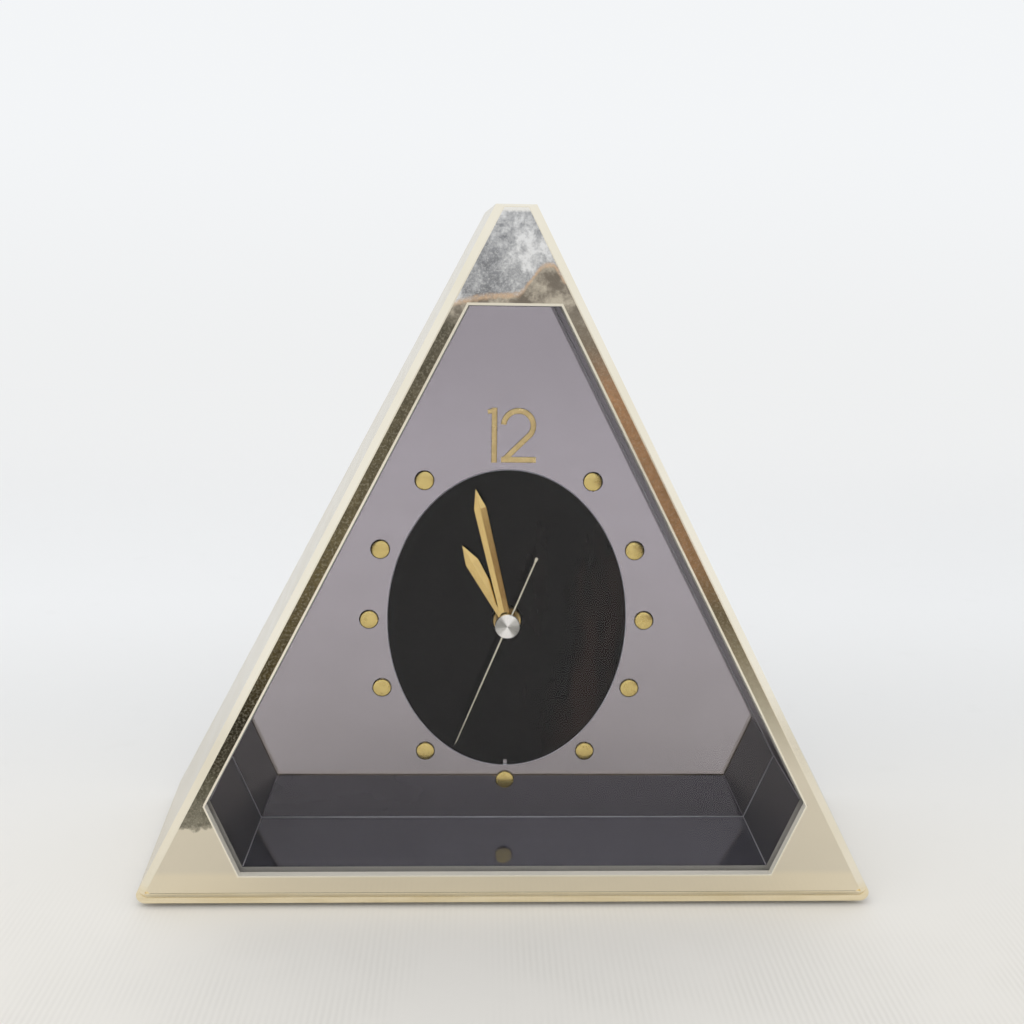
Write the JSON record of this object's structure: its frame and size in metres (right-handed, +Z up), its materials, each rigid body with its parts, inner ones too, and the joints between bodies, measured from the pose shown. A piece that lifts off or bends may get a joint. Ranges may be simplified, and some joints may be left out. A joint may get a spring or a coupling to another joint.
{
  "type": "triangular table clock",
  "caption": "Battery table clock in a gold plated triangular case: six-sided window, deep dark tub, mirror dial with domed hour studs, faceted hands and a geared quartz movement.",
  "frame": {"origin": "centre of the footprint, on the surface the feet stand on", "axes": "+X to the right of the dial, +Z up, the dial faces -Y"},
  "size_m": [0.2168, 0.0672, 0.1914],
  "materials": {
    "bezel_gold": "plated, bright pale gold",
    "face_gold": "mirror polished pale gold, pitted with age",
    "window_glass": "clear, glossy",
    "tub_charcoal": "glossy charcoal",
    "dial_mirror": "mirror, lavender silver",
    "oval_black": "glossy black",
    "stud_gold": "polished",
    "numeral_gold": "polished",
    "shell_gold": "plated, bright pale gold",
    "cover_black": "fine textured black",
    "door_black": "fine textured black",
    "foot_rubber": "matt",
    "screw_steel": "zinc plated",
    "movement_black": "satin black",
    "movement_grey": "satin grey",
    "bush_brass": "turned",
    "wheel_white": "natural white",
    "knob_red": "satin red",
    "magnet_grey": "ground",
    "stator_steel": "stamped",
    "bobbin_plastic": "natural",
    "winding_copper": "enamelled copper",
    "board_green": "lacquered green",
    "chip_black": "epoxy blob",
    "crystal_steel": "drawn can",
    "battery_sleeve": "plain printed sleeve, unmarked",
    "contact_steel": "nickel plated strip",
    "hand_gold": "satin gold, faceted",
    "second_silver": "polished",
    "cap_silver": "radially brushed"
  },
  "bodies": {
    "case": {"front_bezel": "bezel_gold", "face_plate": "face_gold", "window_glass": "window_glass", "dial_tub": "tub_charcoal", "dial_plate": "dial_mirror", "dial_oval": "oval_black", "hour_studs": "stud_gold", "numeral_one": "numeral_gold", "numeral_two": "numeral_gold", "case_shell": "shell_gold", "back_cover": "cover_black", "rubber_feet": "foot_rubber", "bezel_screws": "screw_steel", "back_cover_screws": "screw_steel", "movement_base": "movement_black", "movement_cover": "movement_grey", "centre_bush": "bush_brass", "stator": "stator_steel", "coil_core": "stator_steel", "coil_bobbin": "bobbin_plastic", "coil_winding": "winding_copper", "circuit_board": "board_green", "quartz_chip": "chip_black", "quartz_crystal": "crystal_steel", "plus_contact": "contact_steel", "minus_contact": "contact_steel"},
    "door": {"access_door": "door_black"},
    "cell": {"battery": "battery_sleeve"},
    "seconds": {"second_wheel": "wheel_white", "second_hand": "second_silver", "second_cap": "cap_silver"},
    "fifth": {"fifth_wheel": "wheel_white"},
    "motor_rotor": {"rotor": "magnet_grey"},
    "third": {"third_wheel": "wheel_white"},
    "centre": {"centre_wheel": "wheel_white"},
    "minutes": {"cannon_pinion": "wheel_white", "minute_hand": "hand_gold"},
    "intermediate": {"minute_wheel": "wheel_white"},
    "hours": {"hour_wheel": "wheel_white", "hour_hand": "hand_gold"},
    "knob": {"setting_knob": "knob_red"}
  },
  "joints": [
    {"name": "second_turn", "type": "hinge", "parent": "case", "child": "seconds", "pos_m": [0, 0, 0.0748], "axis": [0, 1, 0], "continuous": true},
    {"name": "rotor_turn", "type": "hinge", "parent": "case", "child": "motor_rotor", "pos_m": [-0.01452, 0, 0.08138], "axis": [0, 1, 0], "continuous": true},
    {"name": "fifth_turn", "type": "hinge", "parent": "case", "child": "fifth", "pos_m": [-0.00846, 0, 0.07788], "axis": [0, 1, 0], "continuous": true},
    {"name": "third_turn", "type": "hinge", "parent": "case", "child": "third", "pos_m": [0.00799, 0, 0.07189], "axis": [0, 1, 0], "continuous": true},
    {"name": "centre_turn", "type": "hinge", "parent": "case", "child": "centre", "pos_m": [0, 0, 0.0748], "axis": [0, 1, 0], "continuous": true},
    {"name": "minute_turn", "type": "hinge", "parent": "case", "child": "minutes", "pos_m": [0, 0, 0.0748], "axis": [0, 1, 0], "continuous": true},
    {"name": "minute_wheel_turn", "type": "hinge", "parent": "case", "child": "intermediate", "pos_m": [-0.00246, 0, 0.06803], "axis": [0, 1, 0], "continuous": true},
    {"name": "hour_turn", "type": "hinge", "parent": "case", "child": "hours", "pos_m": [0, 0, 0.0748], "axis": [0, 1, 0], "continuous": true},
    {"name": "knob_turn", "type": "hinge", "parent": "case", "child": "knob", "pos_m": [-0.00923, 0, 0.06557], "axis": [0, 1, 0], "continuous": true},
    {"name": "door_lift_off", "type": "slide", "parent": "case", "child": "door", "axis": [0, 1, 0], "range_m": [0, 0.03]},
    {"name": "battery_lift_out", "type": "slide", "parent": "case", "child": "cell", "axis": [0, 1, 0], "range_m": [0, 0.012]}
  ],
  "couplings": [
    {"joint": "rotor_turn", "follows": "second_turn", "ratio": 30},
    {"joint": "fifth_turn", "follows": "second_turn", "ratio": -5},
    {"joint": "third_turn", "follows": "second_turn", "ratio": -0.13333},
    {"joint": "centre_turn", "follows": "second_turn", "ratio": 0.016667},
    {"joint": "minute_wheel_turn", "follows": "minute_turn", "ratio": -0.33333},
    {"joint": "hour_turn", "follows": "minute_turn", "ratio": 0.083333},
    {"joint": "knob_turn", "follows": "minute_turn", "ratio": 1}
  ]
}
